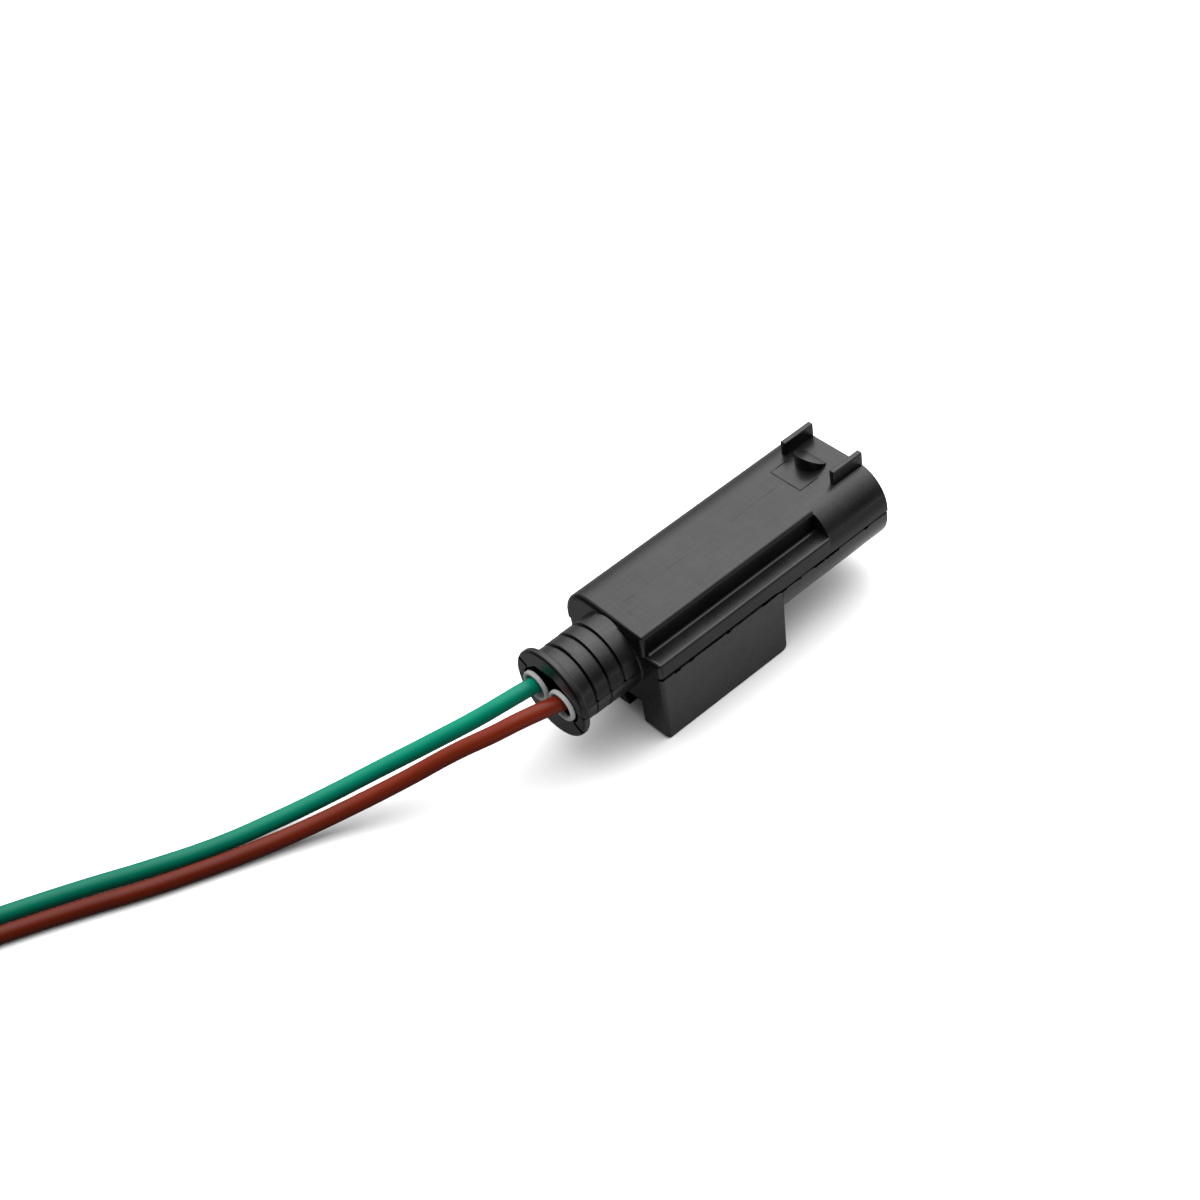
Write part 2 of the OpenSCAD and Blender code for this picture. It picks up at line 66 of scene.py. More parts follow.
ROUTE_RIGHT = [
    (-32.4, -1.9, 13.6), (-36.2, -0.5, 13.2), (-39.4, 1.1, 12.2), (-44.5, 4.4, 10.1),
    (-51.5, 8.9, 6.5), (-59, 13, 3.8), (-66.5, 16.4, 2.2), (-74, 19.5, 1.5), (-81, 22.4, 1.3),
    (-88, 25.4, 1.3), (-97, 29.8, 1.3), (-106, 33.9, 1.3), (-115, 37.6, 1.3), (-124, 40.9, 1.3),
    (-133, 43.8, 1.3), (-142, 46.4, 1.3), (-151, 48.8, 1.3), (-160, 51, 1.3), (-167, 52.6, 1.3)]

# Strands of a conductor, in millimetres: how many lie at which distance from its middle, the length
# of one turn, in how many steps they are rounded and twisted, and how far they stand out of the
# lead and reach into it
STRAND_R = 0.16
STRAND_RINGS = ((1, 0), (6, 0.32), (12, 0.62))
STRAND_TWIST = 24
STRAND_ROUND_STEPS = 2
STRAND_TWIST_STEPS = 12
BARE_LENGTH = 8
BARE_INSIDE = 2

# Housing, in millimetres and degrees: its main places, what counts as one point and as one face,
# which of its edges are rounded and how, and how it is shaded
PARTING_Z = 13.1
TOP_Z = 19.9
REAR_X = -17.35
ONE_POINT = 0.001
ONE_FACE_ANGLE = 0.5
EDGE_ROUNDING = 0.14
EDGE_ANGLE = 42
EDGE_STEPS = 3
SMOOTH_ANGLE = 32
FLAT_FACE_WEIGHT = 80
# Recess in the flange's face above the seals: from x, to x, from y, to y, from z, to z
RECESS = (-30.5, -28.3, -2.1, 2.9, 15.2, 17.3)
RECESS_R = 0.7
RECESS_STEPS = 6
# Flange: place of its face; its pocket's radius, start and end behind that face, and the half width
# and half height of the pocket's middle; its slots' turn, half width, inner radius and depth
FLANGE_X = -29.55
POCKET_R = 3.15
POCKET_START = 0.2
POCKET_END = 2.5
POCKET_HALF_WIDTH = 3.2
POCKET_HALF_HEIGHT = 4.4
SLOT_TURN = 30
SLOT_HALF = 0.3
SLOT_R = 5.4
SLOT_DEPTH = 1

# Painted shade of the parting line on the sides, in and around its groove, in millimetres: where
# the sides start, the length of the line's steps, their least and greatest depth, how far and how
# often its edge frays, and how high it reaches at the rear and at the front, with the change
# between two places
SIDE_Y = 9.8
GAP_STEP = 2.6
GAP_DEPTHS = (0.3, 0.6)
GAP_FRAY = 0.04
GAP_FRAY_SIZE = 0.5
GAP_HEIGHTS = (0.42, 0.14)
GAP_CHANGE = (5.5, 7.5)
# Parting line elsewhere, a hair of painted shade, in millimetres: how high and how deep it reaches
HAIR_HEIGHT = 0.04
HAIR_DEPTH = 0.2

# Fine mould lines, in millimetres: their half width, and how near to their face they are drawn
MARK_HALF = 0.09
MARK_NEAR = 0.05
# Mark of the mould's core on the top: from x, to x, from y, to y
CORE_MARK = (19.8, 23.6, -2.6, 3.76)
# Short line on the rear face: height, from y, to y
REAR_MARK = (15.55, 8, 10.1)
# Faint line along the top: y where x is 0, slope and start
TOP_MARK_Y = 0.5
TOP_MARK_SLOPE = 0.016
TOP_MARK_START = -16
# Patches that break the line along the top and fade all the lines: their size in millimetres, the
# noise's values from and to, and the share of the line that shows at each
TOP_MARK_PATCHES = (4, 0.4, 0.6, 0.0, 0.25)
MARK_PATCHES = (2.5, 0.3, 0.55, 0.35, 1.0)

# Moulded skin: sizes of its grain, streaks, weave and mottle in millimetres, by which share places
# are squeezed to draw streaks and weave out, and between which values most of a noise lies, and
# most of the cells' colours
GRAIN_SIZE = 0.16
STREAK_SIZE = 0.35
STREAK_SQUEEZE = 0.06
WEAVE_SIZE = 0.45
WEAVE_SQUEEZE = 0.08
MOTTLE_SIZE = 6
NOISE_SPREAD = (0.3, 0.7)
CELL_SPREAD = (0.25, 0.9)

# Housing's plastic: its darkest and palest tone, and the tone of painted shade in gaps and hollows,
# and of fine lines
PLASTIC_TONES = ((0.0032, 0.0032, 0.0033), (0.0048, 0.0048, 0.0049))
SHADE_AND_LINE_TONE = (0.0004, 0.0004, 0.0004)
# Its roughness, and what mottle, grain and gaps add
PLASTIC_ROUGHNESS = 0.23
MOTTLE_ROUGHNESS = 0.04
GRAIN_ROUGHNESS = 0.08
GAP_ROUGHNESS = 0.75
# Its specular level at the most and on a plain face, and what weave and mottle add
SHINE_TOP = 0.3
SHINE = 0.261
WEAVE_SHINE = 0.07
MOTTLE_SHINE = 0.02
# Share of the shine on the upper half's sides, and between which normals a face becomes a side
SIDE_SHINE = 0.45
SIDE_FACING = (0.9, 0.98)
# Painted shade where an upper edge turns to the rear, a share of its shine: between which normals
# to the rear that begins and ends, and between which upward normals an edge becomes an upper one
TURN_PAINTED_SHADE = 0.7
TURN_BEGINS = (0.05, 0.25)
TURN_ENDS = (0.85, 0.97)
TURN_UPWARD = (0.1, 0.35)
# Relief of its grain, streaks and lines, in millimetres
GRAIN_RELIEF = 0.006
STREAK_RELIEF = 0.004
MARK_RELIEF = -0.03

# Insulation: each lead's full and dull colour, the share of dullness in the mottle, how far painted
# shade darkens it towards the free end and between which places in millimetres, its roughness and
# what mottle adds, its specular level, and its relief in millimetres
GREEN = ((0.0, 0.18, 0.108), (0.0, 0.155, 0.098))
BROWN = ((0.13, 0.0135, 0.004), (0.112, 0.012, 0.004))
WIRE_DULLNESS = 0.6
WIRE_FALLOFF_SHADE = 0.42
WIRE_FALLOFF_SPAN = (-85, -40)
WIRE_ROUGHNESS = 0.18
WIRE_MOTTLE_ROUGHNESS = 0.06
WIRE_SHINE = 0.1
WIRE_RELIEF = 0.006

# Silicone: its darkest and palest tone, its roughness and what grain adds, how much light goes into
# its depth and how deep in millimetres, and its relief in millimetres
SILICONE_TONES = ((0.36, 0.366, 0.372), (0.42, 0.426, 0.432))
SILICONE_ROUGHNESS = 0.45
SILICONE_GRAIN_ROUGHNESS = 0.1
SILICONE_DEPTH_SHARE = 0.2
SILICONE_DEPTH = 0.4
SILICONE_RELIEF = 0.006

# Metals: bright colour, tarnished colour and roughness; what streaks add, and relief in millimetres
COPPER = ((0.85, 0.5, 0.32), (0.7, 0.38, 0.24), 0.25)
TIN = ((0.74, 0.73, 0.7), (0.66, 0.64, 0.6), 0.2)
METAL_STREAK_ROUGHNESS = 0.2
METAL_RELIEF = 0.004

# Light of the tent round the part: its level all round, each bright lobe's middle, brightness and
# sharpness, and the level that the camera sees
TENT_RIM = 0.1
TENT_LOBES = (((0.25, 0.2, 0.95), 5.8, 3.0), ((0.93, 0.1, 0.35), 1.6, 4.0))
TENT_SEEN = 1.0

# Floor: its width in metres, how far it lies under the part in millimetres, its roughness, its
# specular level, and its mottle's size in millimetres, with the noise's values from and to and the
# share of the tone at each
FLOOR_WIDTH = 8
FLOOR_DROP = 0.05
FLOOR_ROUGHNESS = 0.9
FLOOR_SHINE = 0.1
FLOOR_MOTTLE = (40, 0.2, 0.8, 0.97, 1.0)
# Shares of light that it shows the camera, throws back on the part, and throws back under painted
# shade
FLOOR_SEEN = 0.74
FLOOR_BOUNCE = 0.5
FLOOR_PAINTED_SHADE = 0.15
# The painted shade's direction, and between which distances that way it comes in, in millimetres
PAINTED_SHADE_TOWARDS = (-0.5, 0.87, 0)
PAINTED_SHADE_REACH = (-6, 16)


def deselect_all():
    bpy.ops.object.select_all(action="DESELECT")


def select_only(piece):
    """Makes one piece the only selected one and the active one."""
    deselect_all()
    piece.select_set(True)
    bpy.context.view_layer.objects.active = piece


def link_up(piece):
    """Puts a new piece into the scene."""
    bpy.context.scene.collection.objects.link(piece)
    return piece


def add_camera():
    """Camera at the photograph's viewpoint."""
    heading, drop, roll = (math.radians(a) for a in (CAMERA_HEADING, CAMERA_DROP, CAMERA_ROLL))
    forward = Vector((math.cos(drop) * math.cos(heading),
                      math.cos(drop) * math.sin(heading),
                      -math.sin(drop)))
    level_right = forward.cross(UP).normalized()
    level_up = level_right.cross(forward)
    right = math.cos(roll) * level_right + math.sin(roll) * level_up
    up = right.cross(forward)
    matrix = Matrix((right, up, -forward)).transposed().to_4x4()
    matrix.translation = Vector(CAMERA_PLACE) * MM
    camera = link_up(bpy.data.objects.new("camera", bpy.data.cameras.new("camera")))
    camera.matrix_world = matrix
    camera.data.lens = CAMERA_LENS
    camera.data.sensor_width = CAMERA_SENSOR
    camera.data.clip_start = CAMERA_NEAREST * MM
    bpy.context.scene.camera = camera


# Pieces

def round_curve(name, round_steps):
    """Empty curve that is as thick as its points' own radii, so that its box is right too."""
    curve = bpy.data.curves.new(name, "CURVE")
    curve.dimensions = "3D"
    curve.bevel_depth = 1
    curve.bevel_resolution = round_steps
    curve.use_fill_caps = True
    return curve


def add_lead(name, side, route):
    """One free lead as a round curve along its route, from the bottom of its seal's mouth."""
    points = [(MOUTH_X, side * CONTACT_Y, CONTACT_Z)] + route
    curve = round_curve(name, LEAD_ROUND_STEPS)
    curve.resolution_u = LEAD_CURVE_STEPS
    spline = curve.splines.new("BEZIER")
    spline.bezier_points.add(len(points) - 1)
    for knot, place in zip(spline.bezier_points, points):
        knot.co = Vector(place) * MM
        knot.radius = WIRE_D / 2 * MM
        knot.handle_left_type = knot.handle_right_type = "AUTO"
    return link_up(bpy.data.objects.new(name, curve))


def add_strands(name, route):
    """Twisted strands that stand out of the cut end of one lead."""
    end = Vector(route[-1])
    along = (end - Vector(route[-2])).normalized()
    across = along.cross(UP).normalized()
    rise = across.cross(along)
    curve = round_curve(name, STRAND_ROUND_STEPS)
    for count, distance in STRAND_RINGS:
        for strand in range(count):
            spline = curve.splines.new("POLY")
            spline.points.add(STRAND_TWIST_STEPS)
            for i, point in enumerate(spline.points):
                run = i / STRAND_TWIST_STEPS * (BARE_LENGTH + BARE_INSIDE) - BARE_INSIDE
                turn = 2 * math.pi * (strand / count + run / STRAND_TWIST)
                outward = math.cos(turn) * across + math.sin(turn) * rise
                place = end + run * along + distance * outward
                point.co = (*(place * MM), 1)
                point.radius = STRAND_R * MM
    return link_up(bpy.data.objects.new(name, curve))


def copy_of(node, name):
    """Copy of one CAD solid's mesh, with doubled points merged and flat faces made whole."""
    select_only(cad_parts[node])
    bpy.ops.object.duplicate()
    piece = bpy.context.object
    piece.name = name
    bpy.ops.object.mode_set(mode="EDIT")
    bpy.ops.mesh.select_all(action="SELECT")
    bpy.ops.mesh.remove_doubles(threshold=ONE_POINT * MM)
    bpy.ops.mesh.dissolve_limited(angle_limit=math.radians(ONE_FACE_ANGLE))
    bpy.ops.object.mode_set(mode="OBJECT")
    bpy.ops.mesh.customdata_custom_splitnormals_clear()
    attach(piece, BODY)
    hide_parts(node)
    return piece


def apply_modifier(piece, name, kind, **settings):
    """Gives the active piece a modifier and applies it."""
    modifier = piece.modifiers.new(name, kind)
    for setting, value in settings.items():
        setattr(modifier, setting, value)
    bpy.ops.object.modifier_apply(modifier=modifier.name)


def cut_recess(piece):
    """Cuts the recess above the seals out of the housing's flange."""
    x0, x1, y0, y1, z0, z1 = RECESS
    middle = ((x0 + x1) / 2 * MM, (y0 + y1) / 2 * MM, (z0 + z1) / 2 * MM)
    deselect_all()
    bpy.ops.mesh.primitive_cube_add(size=1, location=middle)
    cutter = bpy.context.object
    cutter.scale = ((x1 - x0) * MM, (y1 - y0) * MM, (z1 - z0) * MM)
    bpy.ops.object.transform_apply(location=True, rotation=True, scale=True)
    apply_modifier(cutter, "corners", "BEVEL", width=RECESS_R * MM, segments=RECESS_STEPS)
    select_only(piece)
    apply_modifier(piece, "recess", "BOOLEAN", operation="DIFFERENCE", object=cutter)
    bpy.data.objects.remove(cutter)


def mark_outer_edges(piece, width, angle):
    """Weights for rounding the edges that stand out sharply between faces wide enough for it."""
    mesh = piece.data
    face_on = {}
    for face in mesh.polygons:
        ring = list(face.vertices)
        for start, stop in zip(ring, ring[1:] + ring[:1]):
            face_on[start, stop] = face
    weights = [0.0] * len(mesh.edges)
    for edge in mesh.edges:
        start, stop = edge.vertices
        one, other = face_on.get((start, stop)), face_on.get((stop, start))
        if not one or not other:
            continue
        along = mesh.vertices[stop].co - mesh.vertices[start].co
        stands_out = other.normal.dot(one.normal.cross(along)) < 0
        narrowest = min(one.area, other.area) / along.length
        if (stands_out and one.normal.angle(other.normal) > math.radians(angle)
                and narrowest > 2 * width * MM):
            weights[edge.index] = 1.0
    marks = mesh.attributes.new("bevel_weight_edge", "FLOAT", "EDGE")
    marks.data.foreach_set("value", weights)


def round_edges(piece, width, angle):
    """Rounds the piece's outer edges and shades it smooth, with its flat faces kept flat."""
    mark_outer_edges(piece, width, angle)
    select_only(piece)
    apply_modifier(piece, "rounding", "BEVEL", width=width * MM, segments=EDGE_STEPS,
                   limit_method="WEIGHT", use_clamp_overlap=False)
    bpy.ops.object.shade_smooth_by_angle(angle=math.radians(SMOOTH_ANGLE))
    apply_modifier(piece, "normals", "WEIGHTED_NORMAL", weight=FLAT_FACE_WEIGHT, keep_sharp=True)


# Shader node groups

class Graph:
    """Short forms for adding and joining nodes in one shader tree."""

    def __init__(self, tree):
        self.tree = tree

    def feed(self, socket, value):
        """Joins a socket to another one, or gives it a plain value."""
        if isinstance(value, bpy.types.NodeSocket):
            self.tree.links.new(value, socket)
        else:
            socket.default_value = value

    def fill(self, node, inputs):
        for socket, value in inputs.items():
            self.feed(node.inputs[socket], value)
        return node

    def add(self, kind, inputs=None, **settings):
        node = self.tree.nodes.new("ShaderNode" + kind)
        for name, value in settings.items():
            setattr(node, name, value)
        return self.fill(node, inputs or {})

    def math(self, operation, first, second=0.0, third=0.0, clamp=False):
        inputs = {0: first, 1: second, 2: third}
        return self.add("Math", inputs, operation=operation, use_clamp=clamp).outputs[0]

    def times(self, first, second):
        return self.math("MULTIPLY", first, second)

    def share(self, value, part, rest):
        """Part of a value, on top of the rest."""
        return self.math("MULTIPLY_ADD", value, part, rest)

    def without(self, value, mask):
        return self.times(value, self.math("SUBTRACT", 1.0, mask))

    def larger(self, first, second):
        return self.math("MAXIMUM", first, second)

    def amount(self, value):
        return self.math("ABSOLUTE", value)

    def above(self, value, limit):
        return self.math("GREATER_THAN", value, limit)

    def below(self, value, limit):
        return self.math("LESS_THAN", value, limit)

    def ramp(self, value, low, high, to_low=0.0, to_high=1.0):
        inputs = {"Value": value, "From Min": low, "From Max": high,
                  "To Min": to_low, "To Max": to_high}
        return self.add("MapRange", inputs, interpolation_type="SMOOTHSTEP").outputs[0]

    def noise(self, place, size, detail):
        """Noise of a size in millimetres."""
        inputs = {"Vector": place, "Scale": 1 / (size * MM), "Detail": detail}
        return self.add("TexNoise", inputs).outputs["Fac"]

    def squeeze(self, place, by):
        return self.add("VectorMath", {0: place, 1: by}, operation="MULTIPLY").outputs[0]

    def towards(self, place, direction):
        """How far a place lies in a direction."""
        inputs = {0: place, 1: direction}
        return self.add("VectorMath", inputs, operation="DOT_PRODUCT").outputs["Value"]

    def parts(self, place):
        return self.add("SeparateXYZ", {0: place}).outputs

    def join(self, first, second):
        return self.add("CombineXYZ", {0: first, 1: second}).outputs[0]

    def mix(self, factor, first, second):
        """Mix of two colours, each a socket or a plain colour."""
        node = self.add("Mix", data_type="RGBA")
        for socket, value in ((0, factor), (6, first), (7, second)):
            self.feed(node.inputs[socket], (*value, 1) if isinstance(value, tuple) else value)
        return node.outputs[2]

    def group(self, tree, **inputs):
        return self.fill(self.add("Group", node_tree=tree), inputs).outputs

    def emboss(self, height, distance):
        """Normals of a relief from its height, times a distance in metres."""
        inputs = {"Height": height, "Distance": distance, "Strength": 1.0}
        return self.add("Bump", inputs).outputs[0]


def new_group(name, inputs, outputs):
    """Empty group with named sockets: its graph, its inputs and its output node's sockets."""
    tree = bpy.data.node_groups.new(name, "ShaderNodeTree")
    for way, sockets in (("INPUT", inputs), ("OUTPUT", outputs)):
        for label, kind in sockets.items():
            tree.interface.new_socket(label, in_out=way, socket_type="NodeSocket" + kind)
    given = tree.nodes.new("NodeGroupInput").outputs
    return Graph(tree), given, tree.nodes.new("NodeGroupOutput").inputs


def moulded_skin_group():
    """Skin of a moulded piece: fine grain, faint streaks along and across, and broad mottling."""
    outputs = {"Grain": "Float", "Streaks": "Float", "Weave": "Float", "Mottle": "Float"}
    graph, given, out = new_group("moulded_skin", {"Place": "Vector"}, outputs)
    place = given["Place"]
    graph.feed(out["Grain"], graph.noise(place, GRAIN_SIZE, 1.0))
    drawn_out = graph.squeeze(place, (STREAK_SQUEEZE, 1, 1))
    graph.feed(out["Streaks"], graph.noise(drawn_out, STREAK_SIZE, 2.0))
    along = graph.noise(graph.squeeze(place, (WEAVE_SQUEEZE, 1, 1)), WEAVE_SIZE, 2.0)
    across = graph.noise(graph.squeeze(place, (1, WEAVE_SQUEEZE, 1)), WEAVE_SIZE, 2.0)
    graph.feed(out["Weave"], graph.math("SUBTRACT", graph.math("ADD", along, across), 1.0))
    graph.feed(out["Mottle"], graph.ramp(graph.noise(place, MOTTLE_SIZE, 3.0), *NOISE_SPREAD))
    return graph.tree


def parting_shade_line_group():
    """Painted shade at the mould halves' gap: wide and frayed on the sides, a hair elsewhere."""
    inputs = {"Place": "Vector", "Height": "Float"}
    graph, given, out = new_group("parting_line", inputs, {"Mask": "Float"})
    x, y, z = graph.parts(given["Place"])
    run = graph.join(x, y)
    side = graph.above(graph.amount(y), SIDE_Y * MM)
    cells = {"Vector": run, "Scale": 1 / (GAP_STEP * MM), "Randomness": 1.0}
    cells = graph.parts(graph.add("TexVoronoi", cells, feature="F1").outputs["Color"])
    steps = graph.ramp(cells[0], *CELL_SPREAD, *(depth * MM for depth in GAP_DEPTHS))
    fray = graph.noise(run, GAP_FRAY_SIZE, 1.0)
    fray = graph.ramp(fray, *NOISE_SPREAD, -GAP_FRAY * MM, GAP_FRAY * MM)
    depth = graph.times(side, graph.math("ADD", steps, fray))
    rise = graph.ramp(x, *(place * MM for place in GAP_CHANGE + GAP_HEIGHTS))
    rise = graph.times(side, rise)
    height = graph.math("SUBTRACT", z, given["Height"])
    under = graph.below(height, graph.larger(rise, HAIR_HEIGHT * MM))
    over = graph.above(graph.math("ADD", height, graph.larger(depth, HAIR_DEPTH * MM)), 0.0)
    graph.feed(out["Mask"], graph.times(under, over))
    return graph.tree


def witness_lines_group():
    """Fine lines that the mould's core and its halves left on the top and on the rear face."""
    graph, given, out = new_group("witness_lines", {"Place": "Vector"}, {"Mask": "Float"})
    place = given["Place"]
    x, y, z = graph.parts(place)
    near = MARK_NEAR * MM

    def stroke(value, at, other, low, high):
        """Line where one measure has a value, while another lies between two values."""
        on_line = graph.math("COMPARE", value, at * MM, MARK_HALF * MM)
        span = graph.times(graph.above(other, low * MM), graph.below(other, high * MM))
        return graph.times(on_line, span)

    def patches(size, *spread):
        return graph.ramp(graph.noise(place, size, 1.0), *spread)

    from_x, to_x, from_y, to_y = CORE_MARK
    rear = stroke(x, from_x, y, from_y, to_y)
    left = stroke(y, to_y, x, from_x, to_x)
    right = stroke(y, from_y, x, from_x, to_x)
    slope = graph.math("SUBTRACT", y, graph.times(x, TOP_MARK_SLOPE))
    middle = stroke(slope, TOP_MARK_Y, x, TOP_MARK_START, from_x)
    middle = graph.times(middle, patches(*TOP_MARK_PATCHES))
    mask = graph.larger(graph.larger(rear, left), graph.larger(right, middle))
    on_top = graph.times(graph.above(z, TOP_Z * MM - near), graph.below(z, TOP_Z * MM + near))
    mask = graph.times(mask, on_top)
    height, from_y, to_y = REAR_MARK
    back = graph.times(stroke(z, height, y, from_y, to_y), graph.below(x, REAR_X * MM + near))
    graph.feed(out["Mask"], graph.times(graph.larger(mask, back), patches(*MARK_PATCHES)))
    return graph.tree


def painted_hollow_shade_group():
    """Painted shade on the walls of the flange's pocket and slots, which see next to no light."""
    graph, given, out = new_group("painted_hollow_shade", {"Place": "Vector"}, {"Mask": "Float"})
    x, y, z = graph.parts(given["Place"])
    up = graph.math("SUBTRACT", z, CONTACT_Z * MM)
    cos, sin = math.cos(math.radians(SLOT_TURN)), math.sin(math.radians(SLOT_TURN))
    outward = graph.math("ADD", graph.times(y, cos), graph.times(up, sin))
    off = graph.math("SUBTRACT", graph.times(up, cos), graph.times(y, sin))
    slot = graph.times(graph.below(graph.amount(off), SLOT_HALF * MM),
                       graph.above(graph.amount(outward), SLOT_R * MM))
    slot = graph.times(slot, graph.below(x, (FLANGE_X + SLOT_DEPTH) * MM))
    inside = graph.times(graph.above(x, (FLANGE_X + POCKET_START) * MM),
                         graph.below(x, (FLANGE_X + POCKET_END) * MM))
    span = graph.math("SUBTRACT", graph.amount(y), CONTACT_Y * MM)
    reach = graph.join(graph.larger(span, 0.0), up)
    reach = graph.add("VectorMath", {0: reach}, operation="LENGTH").outputs["Value"]
    middle = graph.times(graph.below(graph.amount(y), POCKET_HALF_WIDTH * MM),
                         graph.below(graph.amount(up), POCKET_HALF_HEIGHT * MM))
    pocket = graph.larger(graph.below(reach, POCKET_R * MM), middle)
    graph.feed(out["Mask"], graph.larger(slot, graph.times(inside, pocket)))
    return graph.tree


# Materials

def new_material(name):
    """Empty material: its graph, its shader and the place of each point in the part's frame."""
    material = bpy.data.materials.new(name)
    material.use_nodes = True
    graph = Graph(material.node_tree)
    shader = material.node_tree.nodes["Principled BSDF"]
    place = graph.add("TexCoord").outputs["Object"]
    return material, graph, shader, place


def housing_shine(graph, place, skin):
    """Specular level of the plastic: low on upper sides, and painted shade on upper edges turning
    to the rear.
    """
    shine = graph.share(skin["Weave"], WEAVE_SHINE, SHINE)
    shine = graph.share(skin["Mottle"], MOTTLE_SHINE, shine)
    geometry = graph.add("NewGeometry").outputs
    sideways = graph.amount(graph.parts(geometry["True Normal"])[1])
    upper = graph.above(graph.parts(place)[2], PARTING_Z * MM)
    upper_side = graph.times(graph.ramp(sideways, *SIDE_FACING), upper)
    shine = graph.times(shine, graph.ramp(upper_side, 0.0, 1.0, 1.0, SIDE_SHINE))
    facing = graph.parts(geometry["Normal"])
    backward = graph.times(facing[0], -1.0)
    # Painted shade on upper edges that turn to the rear
    turn_shade = graph.times(graph.ramp(backward, *TURN_BEGINS),
                          graph.ramp(backward, *TURN_ENDS, TURN_PAINTED_SHADE, 0.0))
    turn_shade = graph.times(turn_shade, graph.ramp(facing[2], *TURN_UPWARD))
    return graph.without(shine, turn_shade)


def housing_plastic(skin, parting_shade, witness, painted_hollow_shade):
    """Black filled plastic with a satin moulded skin, painted shade in gaps and hollows, dark fine
    lines.

    The specular level is plain. Where the plastic shines less, Metallic is higher, because black
    metal throws back next to nothing.
    """
    material, graph, shader, place = new_material("housing_plastic")
    skin = graph.group(skin, Place=place)
    lines = graph.group(witness, Place=place)["Mask"]
    # Painted shade in the parting line's gap and in the flange's pocket and slots
    gap_and_hollow_shade = graph.group(parting_shade, Place=place, Height=PARTING_Z * MM)["Mask"]
    gap_and_hollow_shade = graph.larger(gap_and_hollow_shade, graph.group(painted_hollow_shade, Place=place)["Mask"])
    dark = graph.larger(lines, gap_and_hollow_shade)
    rough = graph.share(skin["Mottle"], MOTTLE_ROUGHNESS, PLASTIC_ROUGHNESS)
    rough = graph.share(skin["Grain"], GRAIN_ROUGHNESS, rough)
    shine = graph.without(housing_shine(graph, place, skin), dark)
    relief = graph.times(skin["Grain"], GRAIN_RELIEF * MM)
    relief = graph.share(skin["Streaks"], STREAK_RELIEF * MM, relief)
    relief = graph.share(lines, MARK_RELIEF * MM, relief)
    graph.fill(shader, {
        "Base Color": graph.mix(dark, graph.mix(skin["Mottle"], *PLASTIC_TONES), SHADE_AND_LINE_TONE),
        "Roughness": graph.share(gap_and_hollow_shade, GAP_ROUGHNESS, rough),
        "Metallic": graph.math("MULTIPLY_ADD", shine, -1 / SHINE_TOP, 1.0, clamp=True),
        "Specular IOR Level": SHINE_TOP,
        "Normal": graph.emboss(relief, 1.0)})
    return material


def insulation(name, colours, skin):
    """Smooth wire insulation with faint scuffs, and painted shade that darkens it towards its free
    end.
    """
    material, graph, shader, place = new_material(name)
    skin = graph.group(skin, Place=place)
    # Painted shade, darker towards the free end
    start, stop = (x * MM for x in WIRE_FALLOFF_SPAN)
    falloff_shade = graph.ramp(graph.parts(place)[0], start, stop, WIRE_FALLOFF_SHADE, 0.0)
    tone = graph.mix(graph.times(skin["Mottle"], WIRE_DULLNESS), *colours)
    graph.fill(shader, {
        "Base Color": graph.mix(falloff_shade, tone, (0, 0, 0)),
        "Roughness": graph.share(skin["Mottle"], WIRE_MOTTLE_ROUGHNESS, WIRE_ROUGHNESS),
        "Specular IOR Level": WIRE_SHINE,
        "Normal": graph.emboss(skin["Streaks"], WIRE_RELIEF * MM)})
    return material


def silicone(skin):
    """Soft grey silicone with a little light in its depth."""
    material, graph, shader, place = new_material("seal_silicone")
    skin = graph.group(skin, Place=place)
    graph.fill(shader, {
        "Base Color": graph.mix(skin["Mottle"], *SILICONE_TONES),
        "Roughness": graph.share(skin["Grain"], SILICONE_GRAIN_ROUGHNESS, SILICONE_ROUGHNESS),
        "Subsurface Weight": SILICONE_DEPTH_SHARE,
        "Subsurface Scale": SILICONE_DEPTH * MM,
        "Normal": graph.emboss(skin["Grain"], SILICONE_RELIEF * MM)})
    return material


def metal(name, bright, dull, roughness, skin):
    """Drawn metal with faint streaks along X and tarnish in patches."""
    material, graph, shader, place = new_material(name)
    skin = graph.group(skin, Place=place)
    graph.fill(shader, {
        "Base Color": graph.mix(skin["Mottle"], bright, dull),
        "Metallic": 1,
        "Roughness": graph.share(skin["Streaks"], METAL_STREAK_ROUGHNESS, roughness),
        "Normal": graph.emboss(skin["Streaks"], METAL_RELIEF * MM)})
    return material


def paper():
    """White floor, which throws less light back on the part than the camera sees."""
    material, graph, shader, place = new_material("floor")
    size, *spread = FLOOR_MOTTLE
    mottle = graph.ramp(graph.noise(place, size, 2.0), *spread)
    # Painted shade in the light thrown back on the part, on one side
    start, stop = (distance * MM for distance in PAINTED_SHADE_REACH)
    bounce = graph.ramp(graph.towards(place, PAINTED_SHADE_TOWARDS), start, stop, FLOOR_BOUNCE, FLOOR_PAINTED_SHADE)
    seen = graph.add("LightPath").outputs["Is Camera Ray"]
    tone = graph.times(mottle, graph.ramp(seen, 0.0, 1.0, bounce, FLOOR_SEEN))
    graph.fill(shader, {
        "Base Color": graph.add("CombineColor", {0: tone, 1: tone, 2: tone}).outputs[0],
        "Roughness": FLOOR_ROUGHNESS,
        "Specular IOR Level": FLOOR_SHINE})
    return material


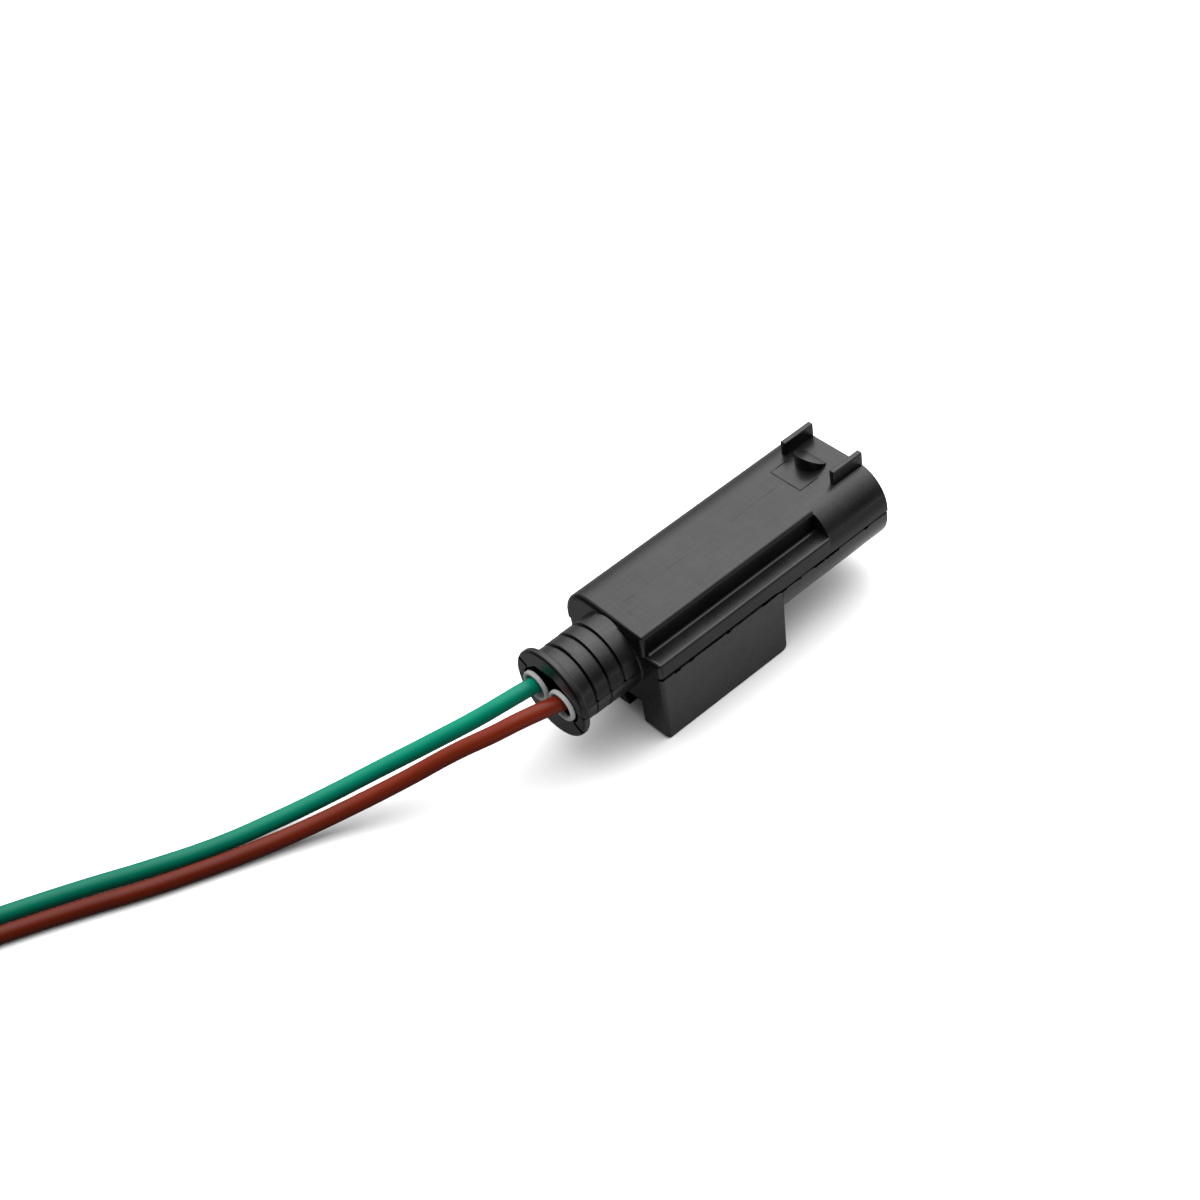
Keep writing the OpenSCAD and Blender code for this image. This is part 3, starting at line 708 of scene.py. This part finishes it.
def paint(piece, material):
    """Gives a piece one material all over."""
    piece.data.materials.clear()
    piece.data.materials.append(material)


# Studio

def add_floor():
    bpy.ops.mesh.primitive_plane_add(size=FLOOR_WIDTH, location=(0, 0, -FLOOR_DROP * MM))
    floor = bpy.context.object
    floor.name = "floor"
    paint(floor, paper())


def add_tent():
    """World as a soft white tent, brighter in its lobes and plain white to the camera."""
    world = bpy.data.worlds.new("world")
    bpy.context.scene.world = world
    world.use_nodes = True
    graph = Graph(world.node_tree)
    direction = graph.add("TexCoord").outputs["Generated"]
    glow = TENT_RIM
    for middle, brightness, sharpness in TENT_LOBES:
        facing = graph.towards(direction, Vector(middle).normalized())
        lobe = graph.math("POWER", graph.larger(facing, 0.0), sharpness)
        glow = graph.share(lobe, brightness, glow)
    seen = graph.add("LightPath").outputs["Is Camera Ray"]
    graph.fill(world.node_tree.nodes["Background"], {
        "Strength": graph.ramp(seen, 0.0, 1.0, glow, TENT_SEEN),
        "Color": (1, 1, 1, 1)})


deselect_all()
bpy.context.scene.view_settings.view_transform = "Standard"
add_camera()

skin = moulded_skin_group()
copper = metal("copper", *COPPER, skin)
tin = metal("tinned_contact", *TIN, skin)
grey = silicone(skin)

for side, sign, route, colours, wire_slot in (
        ("left", 1, ROUTE_LEFT, GREEN, "green_insulation"),
        ("right", -1, ROUTE_RIGHT, BROWN, "brown_insulation")):
    lead = add_lead("lead_" + side, sign, route)
    strands = add_strands("strands_" + side, route)
    for piece, node, slot in ((lead, "insulation_", wire_slot), (strands, "conductor_", "copper")):
        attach(piece, BODY)
        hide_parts(node + side)
    paint(lead, insulation(wire_slot, colours, skin))
    paint(strands, copper)
    paint(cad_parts["seal_" + side], grey)
    paint(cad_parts["contact_" + side], tin)

housing = copy_of("housing", "housing_shell")
cut_recess(housing)
round_edges(housing, EDGE_ROUNDING, EDGE_ANGLE)
paint(housing, housing_plastic(skin, parting_shade_line_group(), witness_lines_group(), painted_hollow_shade_group()))
add_floor()
add_tent()

bpy.context.view_layer.update()
